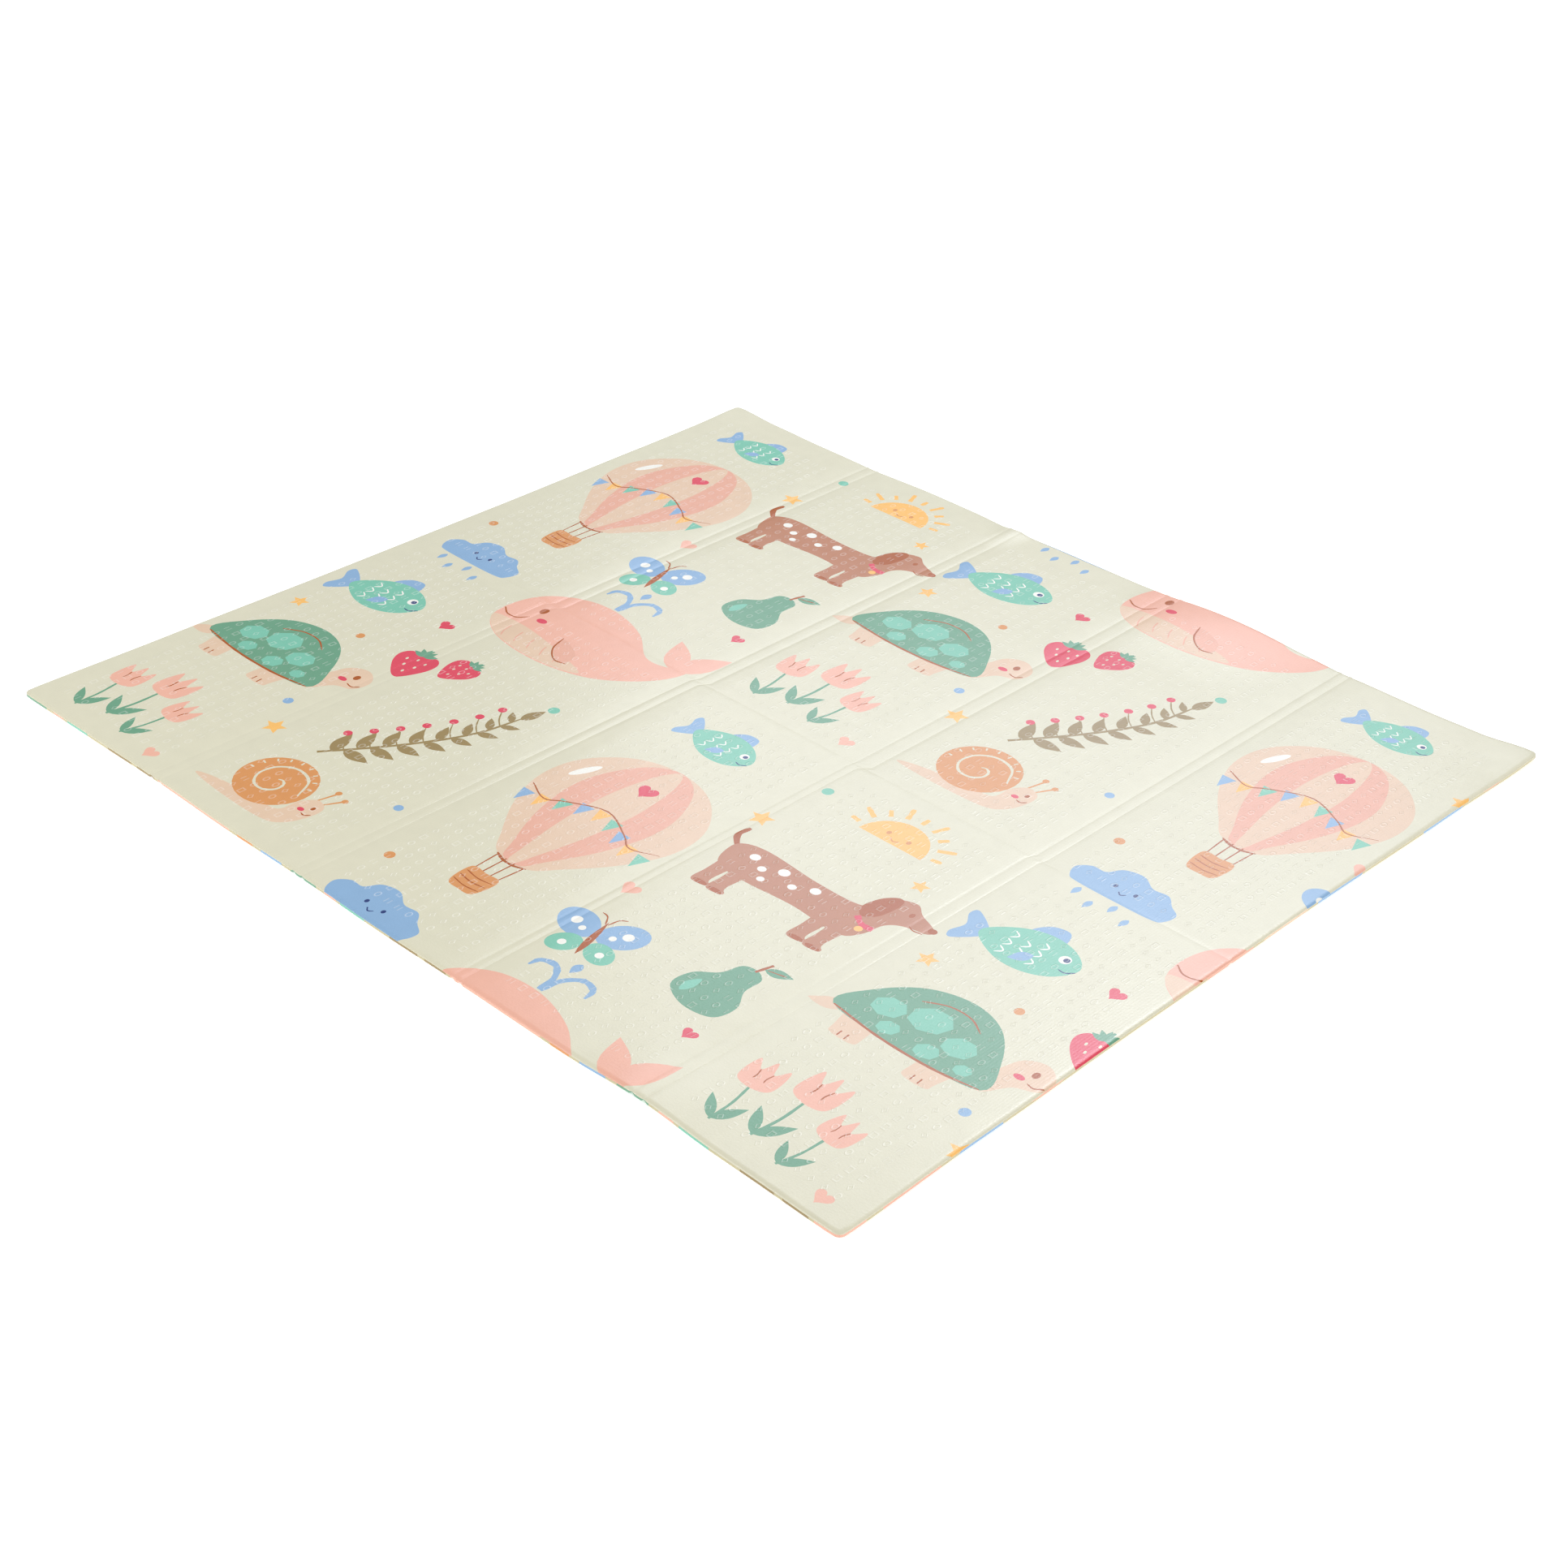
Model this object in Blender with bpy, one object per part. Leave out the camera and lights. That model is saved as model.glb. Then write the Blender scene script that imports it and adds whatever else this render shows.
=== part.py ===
"""A foldable thermal mat: one foam sheet with film on both faces, lying open on its underside.

The origin is the middle of the underside. +X runs across the four folds, from the first panel to the fifth,
+Y runs along the folds, from the near edge to the far edge, and +Z is up. Lengths are in metres.
"""

import math

import bmesh
import bpy
from mathutils import Vector

# Driving sizes
LENGTH = 2.000
WIDTH = 1.800
THICKNESS = 0.010
PANELS = 5
CORNER_RADIUS = 0.014

# The sealed rim: each face turns towards the middle of the thickness over the last few millimetres
RIM_REACH = 0.009
RIM_TOP_KEPT = 0.35
RIM_UNDER_KEPT = 0.50

# The creases: each fold has two, a hinge's width apart, shallow above and deep below
CREASE_HALF_WIDTH = 0.005
CREASE_DEPTH_ABOVE = 0.0013
CREASE_DEPTH_BELOW = 0.0058
HINGE_WIDTH = 0.025
HINGE_SINK = 0.0006
MARGIN_REACH = 0.048

# The half fold: one line along X in the middle of the width, where the creases step sideways
HALF_FOLD_DEPTH_ABOVE = 0.0009
HALF_FOLD_DEPTH_BELOW = 0.0030
JOG_HALF_LENGTH = 0.012

# How far each crease lies from its even place, in the near and the far half of the mat
# near_left, near_right, far_left, far_right
CREASE_SHIFTS = [
    (0.0015, -0.0005, 0.0145, 0.0155),
    (-0.0005, -0.0035, 0.0075, 0.0095),
    (-0.0035, -0.0105, 0.0005, 0.0075),
    (-0.0045, -0.0045, 0.0025, 0.0005),
]

# How far each edge is drawn in: rows of distance along the edge, from its left or near end, and depth
FAR_EDGE_DRAWN_IN = [
    (0.02, 0.000), (0.12, 0.005), (0.27, 0.010), (0.42, 0.012), (0.58, 0.006), (0.69, 0.007),
    (0.79, 0.012), (0.95, 0.009), (1.16, 0.008), (1.31, 0.006), (1.42, 0.005), (1.52, 0.007),
    (1.60, 0.011), (1.78, 0.014), (1.89, 0.011), (1.98, 0.000),
]
NEAR_EDGE_DRAWN_IN = [
    (0.02, 0.000), (0.20, 0.002), (0.40, 0.004), (0.60, 0.001), (0.80, 0.003), (1.00, 0.001),
    (1.20, 0.003), (1.40, 0.003), (1.60, 0.006), (1.80, 0.003), (1.98, 0.000),
]
LEFT_EDGE_DRAWN_IN = [(0.02, 0.000), (0.30, 0.004), (0.70, 0.008), (1.10, 0.008), (1.50, 0.004), (1.78, 0.000)]
RIGHT_EDGE_DRAWN_IN = [(0.02, 0.000), (0.30, 0.005), (0.70, 0.009), (1.10, 0.010), (1.50, 0.005), (1.78, 0.000)]
DRAWN_IN_REACH = 0.30

# Where the mat stands off the floor
# middle_x, middle_y, height, reach_x, reach_y
LIFTS = [
    (0.335, 0.900, 0.0100, 0.230, 0.260),
    (-0.190, 0.900, 0.0045, 0.045, 0.110),
    (0.600, -0.900, 0.0055, 0.150, 0.200),
    (-1.000, 0.900, 0.0030, 0.130, 0.130),
    (1.000, 0.900, 0.0030, 0.130, 0.130),
]

# Lines of points across the mat
RIM_STATIONS = (0.0009, 0.0030, RIM_REACH)
LIFT_STATIONS = (0.050, 0.110, 0.180)
PANEL_CUTS = 3
ROWS_EVERY = 0.130

FILM_COLOUR = (0.81, 0.78, 0.66, 1.0)
FILM_ROUGHNESS = 0.40
SHARP_ANGLE = math.radians(50)

HALF_LENGTH = LENGTH / 2
HALF_WIDTH = WIDTH / 2
FOLD_MIDDLES = [LENGTH * (fold + 1) / PANELS - HALF_LENGTH for fold in range(PANELS - 1)]


def smooth(share):
    """0 to 1 with level ends."""
    share = min(max(share, 0.0), 1.0)
    return share * share * (3 - 2 * share)


def read_between(rows, along):
    """The value at a place in a table of (place, value) rows, smooth between them."""
    for (place, value), (next_place, next_value) in zip(rows, rows[1:]):
        if along <= next_place:
            share = (along - place) / (next_place - place)
            return value + (next_value - value) * smooth(share)
    return rows[-1][1]


def even_creases():
    """The creases' places along X if each fold were even."""
    places = []
    for middle in FOLD_MIDDLES:
        places += [middle - HINGE_WIDTH / 2, middle + HINGE_WIDTH / 2]
    return places


def crease_shifts(y):
    """How far each crease lies from its even place at this y."""
    far_share = smooth((y + JOG_HALF_LENGTH) / (2 * JOG_HALF_LENGTH))
    shifts = []
    for near_left, near_right, far_left, far_right in CREASE_SHIFTS:
        shifts.append(near_left + (far_left - near_left) * far_share)
        shifts.append(near_right + (far_right - near_right) * far_share)
    return shifts


def follow_creases(x, y):
    """Moves a point of an evenly folded sheet sideways with the creases beside it."""
    places = [-HALF_LENGTH] + even_creases() + [HALF_LENGTH]
    shifts = [0.0] + crease_shifts(y) + [0.0]
    for left, right, left_shift, right_shift in zip(places, places[1:], shifts, shifts[1:]):
        if x <= right:
            share = (x - left) / (right - left)
            return x + left_shift + (right_shift - left_shift) * share
    return x


def valley(distance, half_width):
    """1 on a crease, 0 past its half width."""
    return max(0.0, 1.0 - abs(distance) / half_width)


def lift(x, y):
    """How far the underside stands off the floor."""
    height = 0.0
    for middle_x, middle_y, top, reach_x, reach_y in LIFTS:
        across = min(abs(x - middle_x) / reach_x, 1.0)
        along = min(abs(y - middle_y) / reach_y, 1.0)
        height += top * math.cos(across * math.pi / 2) ** 2 * math.cos(along * math.pi / 2) ** 2
    return height


def heights(x, y):
    """The underside and the top of the sheet at a point, before its rim is sealed."""
    creases = [place + shift for place, shift in zip(even_creases(), crease_shifts(y))]
    crease = valley(min(abs(x - place) for place in creases), CREASE_HALF_WIDTH)
    half_fold = valley(y, CREASE_HALF_WIDTH)
    in_margin = 0.0
    for left, right in zip(creases[::2], creases[1::2]):
        from_hinge = max(abs(x - (left + right) / 2) - HINGE_WIDTH / 2, 0.0)
        in_margin = max(in_margin, valley(from_hinge, MARGIN_REACH - HINGE_WIDTH / 2))
    under = max(crease * CREASE_DEPTH_BELOW, half_fold * HALF_FOLD_DEPTH_BELOW)
    above = max(crease * CREASE_DEPTH_ABOVE, half_fold * HALF_FOLD_DEPTH_ABOVE)
    off_floor = lift(x, y)
    return off_floor + under, off_floor + THICKNESS - above - in_margin * HINGE_SINK


def seal_rim(x, y, z, middle, is_top):
    """Turns a face towards the middle of the thickness near the mat's edges."""
    from_edge = min(HALF_LENGTH - abs(x), HALF_WIDTH - abs(y))
    if from_edge >= RIM_REACH:
        return z
    outward = 1.0 - from_edge / RIM_REACH
    round_over = 1.0 - math.sqrt(max(0.0, 1.0 - outward * outward))
    kept = RIM_TOP_KEPT if is_top else RIM_UNDER_KEPT
    return middle + (z - middle) * (1.0 - (1.0 - kept) * round_over)


def round_corner(x, y):
    """Bends the square corners of the sheet to a radius."""
    over_x = (abs(x) - HALF_LENGTH) / CORNER_RADIUS + 1.0
    over_y = (abs(y) - HALF_WIDTH) / CORNER_RADIUS + 1.0
    if over_x <= 0 or over_y <= 0:
        return x, y
    round_x = over_x * math.sqrt(1 - over_y * over_y / 2)
    round_y = over_y * math.sqrt(1 - over_x * over_x / 2)
    new_x = HALF_LENGTH + (round_x - 1.0) * CORNER_RADIUS
    new_y = HALF_WIDTH + (round_y - 1.0) * CORNER_RADIUS
    return math.copysign(new_x, x), math.copysign(new_y, y)


def fade(distance):
    """1 at an edge, 0 where its drawing in ends."""
    return smooth(1.0 - distance / DRAWN_IN_REACH)


def draw_in(x, y):
    """Moves a point inwards with the uneven edges beside it."""
    along_x = x + HALF_LENGTH
    along_y = y + HALF_WIDTH
    new_x = x + read_between(LEFT_EDGE_DRAWN_IN, along_y) * fade(HALF_LENGTH + x)
    new_x -= read_between(RIGHT_EDGE_DRAWN_IN, along_y) * fade(HALF_LENGTH - x)
    new_y = y + read_between(NEAR_EDGE_DRAWN_IN, along_x) * fade(HALF_WIDTH + y)
    new_y -= read_between(FAR_EDGE_DRAWN_IN, along_x) * fade(HALF_WIDTH - y)
    return new_x, new_y


def place_point(point):
    """Where a point of the flat, evenly cut slab lies in the real mat."""
    is_top = point.z > THICKNESS / 2
    x = follow_creases(point.x, point.y)
    y = point.y
    under, above = heights(x, y)
    z = seal_rim(x, y, above if is_top else under, (under + above) / 2, is_top)
    x, y = round_corner(x, y)
    x, y = draw_in(x, y)
    return Vector((x, y, z))


def stations_along_x():
    """Where the slab is cut across X: at the rim, at the creases and their margins, and in the panels."""
    rim = list(RIM_STATIONS)
    stations = [-HALF_LENGTH + inside for inside in rim] + [HALF_LENGTH - inside for inside in rim]
    for middle in FOLD_MIDDLES:
        stations.append(middle)
        for side in (-1, 1):
            crease = middle + side * HINGE_WIDTH / 2
            stations += [crease - CREASE_HALF_WIDTH, crease, crease + CREASE_HALF_WIDTH]
            stations.append(middle + side * MARGIN_REACH)
    panel_ends = [-HALF_LENGTH + RIM_REACH]
    for middle in FOLD_MIDDLES:
        panel_ends += [middle - MARGIN_REACH, middle + MARGIN_REACH]
    panel_ends.append(HALF_LENGTH - RIM_REACH)
    for left, right in zip(panel_ends[::2], panel_ends[1::2]):
        step = (right - left) / (PANEL_CUTS + 1)
        stations += [left + step * (cut + 1) for cut in range(PANEL_CUTS)]
    return stations


def stations_along_y():
    """Where the slab is cut across Y: at the rim, at the half fold, near both ends and evenly between."""
    half = [HALF_WIDTH - inside for inside in RIM_STATIONS + LIFT_STATIONS]
    half += [CREASE_HALF_WIDTH, JOG_HALF_LENGTH]
    open_end = HALF_WIDTH - max(LIFT_STATIONS)
    rows = round(open_end / ROWS_EVERY)
    half += [open_end * row / rows for row in range(1, rows)]
    return half + [0.0] + [-station for station in half]


def cut_slab(mesh, stations, axis):
    """Cuts the slab with a plane at each station."""
    normal = Vector((1, 0, 0)) if axis == 0 else Vector((0, 1, 0))
    for station in stations:
        everything = mesh.verts[:] + mesh.edges[:] + mesh.faces[:]
        bmesh.ops.bisect_plane(mesh, geom=everything, dist=1e-6, plane_co=normal * station, plane_no=normal)


def film_material():
    """Plain colour of the mat's film."""
    material = bpy.data.materials.new("laminated film")
    material.use_nodes = True
    shader = material.node_tree.nodes["Principled BSDF"]
    shader.inputs["Base Color"].default_value = FILM_COLOUR
    shader.inputs["Roughness"].default_value = FILM_ROUGHNESS
    shader.inputs["Metallic"].default_value = 0.0
    return material


def make_mat(collection):
    """The mat: a slab cut at its stations, each point then moved to its place."""
    mesh = bmesh.new()
    bmesh.ops.create_cube(mesh, size=1.0)
    bmesh.ops.scale(mesh, vec=(LENGTH, WIDTH, THICKNESS), verts=mesh.verts)
    bmesh.ops.translate(mesh, vec=(0, 0, THICKNESS / 2), verts=mesh.verts)
    cut_slab(mesh, stations_along_x(), 0)
    cut_slab(mesh, stations_along_y(), 1)
    for vertex in mesh.verts:
        vertex.co = place_point(vertex.co)
    data = bpy.data.meshes.new("mat")
    mesh.to_mesh(data)
    mesh.free()
    data.shade_smooth()
    data.set_sharp_from_angle(angle=SHARP_ANGLE)
    data.materials.append(film_material())
    collection.objects.link(bpy.data.objects.new("mat", data))


for old in list(bpy.data.objects):
    bpy.data.objects.remove(old)
mat_collection = bpy.data.collections.new("foldable thermal mat")
bpy.context.scene.collection.children.link(mat_collection)
make_mat(mat_collection)
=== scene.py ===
import math
import random

import bpy
import numpy as np
from mathutils import Matrix, Vector
from mathutils.geometry import delaunay_2d_cdt


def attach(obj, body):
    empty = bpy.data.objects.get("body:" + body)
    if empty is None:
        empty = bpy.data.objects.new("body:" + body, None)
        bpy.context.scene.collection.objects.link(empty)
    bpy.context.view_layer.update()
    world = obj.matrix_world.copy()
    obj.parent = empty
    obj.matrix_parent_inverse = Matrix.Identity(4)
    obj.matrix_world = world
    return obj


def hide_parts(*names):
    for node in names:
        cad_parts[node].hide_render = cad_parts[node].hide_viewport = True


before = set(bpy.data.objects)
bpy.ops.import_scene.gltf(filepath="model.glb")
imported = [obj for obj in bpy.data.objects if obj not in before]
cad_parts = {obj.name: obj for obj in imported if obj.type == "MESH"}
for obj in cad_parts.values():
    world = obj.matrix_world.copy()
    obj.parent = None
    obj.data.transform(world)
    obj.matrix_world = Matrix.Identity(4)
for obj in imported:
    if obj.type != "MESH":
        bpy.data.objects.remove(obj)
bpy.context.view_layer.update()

# Camera
# It looks down at the mat from in front of its near right corner, as the photograph does,
# with that view's lens, distance and slight roll.
CAMERA_AZIMUTH = math.radians(43.35)
CAMERA_ELEVATION = math.radians(32.30)
CAMERA_ROLL = math.radians(1.694)
CAMERA_DISTANCE = 4.7365
CAMERA_SLIDE = (0.01286, -0.10972)
CAMERA_LENS_MM = 61.34
CAMERA_SENSOR_MM = 36.0
TOP_OF_MAT = 0.010


def aim_camera():
    """The camera's matrix: its own right, up and back directions, and its place."""
    flat = math.cos(CAMERA_ELEVATION)
    ahead, aside = math.cos(CAMERA_AZIMUTH) * flat, math.sin(CAMERA_AZIMUTH) * flat
    back = Vector((aside, -ahead, math.sin(CAMERA_ELEVATION)))
    level = Vector((0, 0, 1)).cross(back).normalized()
    upright = back.cross(level)
    right = level * math.cos(CAMERA_ROLL) + upright * math.sin(CAMERA_ROLL)
    up = upright * math.cos(CAMERA_ROLL) - level * math.sin(CAMERA_ROLL)
    place = back * CAMERA_DISTANCE + right * CAMERA_SLIDE[0] + up * CAMERA_SLIDE[1]
    place.z += TOP_OF_MAT
    matrix = Matrix((right, up, back)).transposed().to_4x4()
    matrix.translation = place
    return matrix


bpy.ops.object.camera_add()
camera = bpy.context.object
camera.name = "photo_camera"
camera.matrix_world = aim_camera()
camera.data.lens = CAMERA_LENS_MM
camera.data.sensor_width = CAMERA_SENSOR_MM
bpy.context.scene.camera = camera

# Studio
# A white light table under four soft boxes. The two behind the mat are mirrored in its film, the lower
# one as a pale bluish veil over the near right, the higher one as thin highlights along the embossing.
STUDIO_FLOOR_SIZE = 60.0
STUDIO_WHITE = "#fbfbfa"
STUDIO_GLOW = 0.5
WORLD_STRENGTH = 0.42
# name, place, aimed at, width, height, watts, colour
SOFT_BOXES = [
    ("rear_soft_box", (-1.50, 2.80, 2.76), (0.8, -0.3, 0.0), 3.0, 2.2, 70.0, "#ecf1ff"),
    ("rear_right_soft_box", (-0.6, 3.9, 4.6), (0.3, 0.0, 0.0), 2.6, 0.9, 100.0, "#f0f5ff"),
    ("right_soft_box", (4.2, 0.2, 1.1), (0.9, 0.0, 0.0), 3.4, 1.6, 60.0, "#ffffff"),
    ("front_soft_box", (-1.0, -3.6, 3.0), (-0.4, -0.2, 0.0), 2.4, 1.6, 108.0, "#ffffff"),
]


def linear(hex_colour):
    """An sRGB hex colour as linear RGBA."""
    channels = [int(hex_colour[start : start + 2], 16) / 255 for start in (1, 3, 5)]
    return tuple(c / 12.92 if c <= 0.04045 else ((c + 0.055) / 1.055) ** 2.4 for c in channels) + (1.0,)


def add_node(tree, kind, inputs=None, **settings):
    """Adds a node with these properties. Each input is a constant, or the node or socket that feeds it."""
    node = tree.nodes.new(kind)
    for name, value in settings.items():
        setattr(node, name, value)
    for socket, value in (inputs or {}).items():
        if isinstance(value, bpy.types.Node):
            value = value.outputs[0]
        if isinstance(value, bpy.types.NodeSocket):
            tree.links.new(value, node.inputs[socket])
        else:
            node.inputs[socket].default_value = value
    return node


def light_table_material():
    """Matt white acrylic sheet, lit from below, which leaves hardly any shadow."""
    material = bpy.data.materials.new("white acrylic sheet")
    material.use_nodes = True
    shader = material.node_tree.nodes["Principled BSDF"]
    shader.inputs["Base Color"].default_value = linear(STUDIO_WHITE)
    shader.inputs["Roughness"].default_value = 0.9
    shader.inputs["Specular IOR Level"].default_value = 0.1
    shader.inputs["Emission Color"].default_value = linear(STUDIO_WHITE)
    shader.inputs["Emission Strength"].default_value = STUDIO_GLOW
    return material


bpy.ops.object.select_all(action="DESELECT")
bpy.ops.mesh.primitive_plane_add(size=STUDIO_FLOOR_SIZE, location=(0, 0, 0))
floor = bpy.context.object
floor.name = "studio_floor"
floor.data.materials.append(light_table_material())

for name, place, target, width, height, watts, colour in SOFT_BOXES:
    bpy.ops.object.light_add(type="AREA", location=place)
    soft_box = bpy.context.object
    soft_box.name = name
    soft_box.data.shape = "RECTANGLE"
    soft_box.data.size = width
    soft_box.data.size_y = height
    soft_box.data.energy = watts
    soft_box.data.color = linear(colour)[:3]
    soft_box.rotation_euler = (Vector(target) - Vector(place)).to_track_quat("-Z", "Y").to_euler()

world = bpy.data.worlds.new("white studio")
world.use_nodes = True
world.node_tree.nodes["Background"].inputs["Color"].default_value = (1.0, 1.0, 1.0, 1.0)
world.node_tree.nodes["Background"].inputs["Strength"].default_value = WORLD_STRENGTH
bpy.context.scene.world = world
bpy.context.scene.view_settings.view_transform = "Standard"

# Shape of the mat
# One sheet of closed-cell foam, 10 mm thick, with a film welded to each face. The folds are pressed
# into it as pairs of creases, and the lower film is wrapped up round the rim and sealed to the upper one.
LENGTH = 2.000
WIDTH = 1.800
THICKNESS = 0.010
PANELS = 5
PANEL = LENGTH / PANELS
CORNER_RADIUS = 0.014
RIM_REACH = 0.009
RIM_TOP_KEPT = 0.35
RIM_UNDER_KEPT = 0.50
RIM_WRAP = 0.005
RIM_WRAPPED = 0.95
GROOVE_HALF_WIDTH = 0.011
GROOVE_DEPTH = 0.0006
BITE_HALF_WIDTH = 0.007
BITE_DEPTH = 0.0058
HINGE_WIDTH = 0.025
HINGE_SINK = 0.0008
MARGIN_REACH = 0.048
HALF_FOLD_DEPTH_ABOVE = 0.0004
HALF_FOLD_DEPTH_BELOW = 0.0030
JOG_HALF_LENGTH = 0.012
HALF_LENGTH = LENGTH / 2
HALF_WIDTH = WIDTH / 2
FOLD_MIDDLES = [PANEL * (fold + 1) - HALF_LENGTH for fold in range(PANELS - 1)]

# How far each crease lies from its even place, in the near and the far half of the mat
# near_left, near_right, far_left, far_right
CREASE_SHIFTS = [
    (0.0015, -0.0005, 0.0145, 0.0155),
    (-0.0005, -0.0035, 0.0075, 0.0095),
    (-0.0035, -0.0105, 0.0005, 0.0075),
    (-0.0045, -0.0045, 0.0025, 0.0005),
]
# How far each edge is drawn in: rows of distance along the edge, from its left or near end, and depth
FAR_EDGE_DRAWN_IN = [
    (0.02, 0.000), (0.12, 0.005), (0.27, 0.010), (0.42, 0.012), (0.58, 0.006), (0.69, 0.007),
    (0.79, 0.012), (0.95, 0.009), (1.16, 0.008), (1.31, 0.006), (1.42, 0.005), (1.52, 0.007),
    (1.60, 0.011), (1.78, 0.014), (1.89, 0.011), (1.98, 0.000),
]
NEAR_EDGE_DRAWN_IN = [
    (0.02, 0.000), (0.20, 0.002), (0.40, 0.004), (0.60, 0.001), (0.80, 0.003), (1.00, 0.001),
    (1.20, 0.003), (1.40, 0.003), (1.60, 0.006), (1.80, 0.003), (1.98, 0.000),
]
LEFT_EDGE_DRAWN_IN = [
    (0.02, 0.000), (0.30, 0.004), (0.70, 0.008), (1.10, 0.008), (1.50, 0.004), (1.78, 0.000),
]
RIGHT_EDGE_DRAWN_IN = [
    (0.02, 0.000), (0.30, 0.005), (0.70, 0.009), (1.10, 0.010), (1.50, 0.005), (1.78, 0.000),
]
DRAWN_IN_REACH = 0.30
# Where the mat stands off the floor
# middle_x, middle_y, height, reach_x, reach_y
LIFTS = [
    (0.335, 0.900, 0.0100, 0.230, 0.260),
    (-0.190, 0.900, 0.0045, 0.045, 0.110),
    (0.600, -0.900, 0.0055, 0.150, 0.200),
    (-1.000, 0.900, 0.0030, 0.130, 0.130),
    (1.000, 0.900, 0.0030, 0.130, 0.130),
]


def smooth(share):
    """0 to 1 with level ends."""
    share = np.clip(share, 0.0, 1.0)
    return share * share * (3 - 2 * share)


def read_between(rows, along):
    """Values at places in a table of (place, value) rows, smooth between them."""
    places, values = np.array(rows).T
    row = np.clip(np.searchsorted(places, along) - 1, 0, len(places) - 2)
    share = (along - places[row]) / (places[row + 1] - places[row])
    return values[row] + (values[row + 1] - values[row]) * smooth(share)


def crease_places(y):
    """Where the eight creases lie along X, one row for each, at these places along Y."""
    far_share = smooth((y + JOG_HALF_LENGTH) / (2 * JOG_HALF_LENGTH))
    places = []
    for middle, (near_left, near_right, far_left, far_right) in zip(FOLD_MIDDLES, CREASE_SHIFTS):
        places.append(middle - HINGE_WIDTH / 2 + near_left + (far_left - near_left) * far_share)
        places.append(middle + HINGE_WIDTH / 2 + near_right + (far_right - near_right) * far_share)
    return np.array(places)


def lift(x, y):
    """How far the underside stands off the floor."""
    height = np.zeros_like(x)
    for middle_x, middle_y, top, reach_x, reach_y in LIFTS:
        across = np.minimum(np.abs(x - middle_x) / reach_x, 1.0)
        along = np.minimum(np.abs(y - middle_y) / reach_y, 1.0)
        height += top * np.cos(across * math.pi / 2) ** 2 * np.cos(along * math.pi / 2) ** 2
    return height


def sheet_heights(x, y):
    """The underside and the top of the sheet, before its rim is sealed."""
    creases = crease_places(y)
    off_crease = np.abs(x - creases).min(axis=0)
    groove = np.clip(1 - off_crease / GROOVE_HALF_WIDTH, 0, 1) ** 2
    half_groove = np.clip(1 - np.abs(y) / GROOVE_HALF_WIDTH, 0, 1) ** 2
    bite = np.cos(np.minimum(off_crease / BITE_HALF_WIDTH, 1) * math.pi / 2) ** 2
    half_bite = np.cos(np.minimum(np.abs(y) / BITE_HALF_WIDTH, 1) * math.pi / 2) ** 2
    from_middle = np.abs(x - (creases[::2] + creases[1::2]) / 2).min(axis=0)
    margin = 1 - smooth((from_middle - HINGE_WIDTH / 2) / (MARGIN_REACH - HINGE_WIDTH / 2))
    under = np.maximum(bite * BITE_DEPTH, half_bite * HALF_FOLD_DEPTH_BELOW)
    above = np.maximum(groove * GROOVE_DEPTH, half_groove * HALF_FOLD_DEPTH_ABOVE)
    off_floor = lift(x, y)
    return off_floor + under, off_floor + THICKNESS - above - margin * HINGE_SINK


def draw_in(x, y):
    """Moves points inwards with the uneven edges beside them."""
    along_x = x + HALF_LENGTH
    along_y = y + HALF_WIDTH
    from_left = read_between(LEFT_EDGE_DRAWN_IN, along_y) * smooth(1 - along_x / DRAWN_IN_REACH)
    from_right = read_between(RIGHT_EDGE_DRAWN_IN, along_y) * smooth(1 - (HALF_LENGTH - x) / DRAWN_IN_REACH)
    from_near = read_between(NEAR_EDGE_DRAWN_IN, along_x) * smooth(1 - along_y / DRAWN_IN_REACH)
    from_far = read_between(FAR_EDGE_DRAWN_IN, along_x) * smooth(1 - (HALF_WIDTH - y) / DRAWN_IN_REACH)
    return x + from_left - from_right, y + from_near - from_far


def place_film(x, y, is_top):
    """Where points of a flat film lie on the mat. What reaches past the outline is wrapped up the rim."""
    past = np.maximum(np.abs(x) - HALF_LENGTH, np.abs(y) - HALF_WIDTH)
    over_x = np.abs(x) - (HALF_LENGTH - CORNER_RADIUS)
    over_y = np.abs(y) - (HALF_WIDTH - CORNER_RADIUS)
    flat_x = np.clip(x, -HALF_LENGTH, HALF_LENGTH)
    flat_y = np.clip(y, -HALF_WIDTH, HALF_WIDTH)
    under, above = sheet_heights(flat_x, flat_y)
    middle = (under + above) / 2
    outward = np.clip(1 + past / RIM_REACH, 0, 1)
    round_over = 1 - np.sqrt(1 - outward**2)
    top_z = middle + (above - middle) * (1 - (1 - RIM_TOP_KEPT) * round_over)
    under_z = middle + (under - middle) * (1 - (1 - RIM_UNDER_KEPT) * round_over)
    wrapped = np.clip(past / RIM_WRAP, 0, 1) * RIM_WRAPPED
    z = top_z if is_top else under_z + (top_z - under_z) * wrapped
    in_corner = (over_x > 0) & (over_y > 0)
    ring = np.maximum(over_x, over_y)
    corner_x = np.where(in_corner, over_x, 1.0)
    corner_y = np.where(in_corner, over_y, 0.0)
    turn = np.minimum(corner_x, corner_y) / np.maximum(corner_x, corner_y) * math.pi / 4
    turn = np.where(corner_y > corner_x, math.pi / 2 - turn, turn)
    radius = np.minimum(ring, CORNER_RADIUS)
    round_x = np.copysign(HALF_LENGTH - CORNER_RADIUS + radius * np.cos(turn), x)
    round_y = np.copysign(HALF_WIDTH - CORNER_RADIUS + radius * np.sin(turn), y)
    new_x, new_y = draw_in(np.where(in_corner, round_x, flat_x), np.where(in_corner, round_y, flat_y))
    return np.stack([new_x, new_y, z], axis=1)


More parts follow.
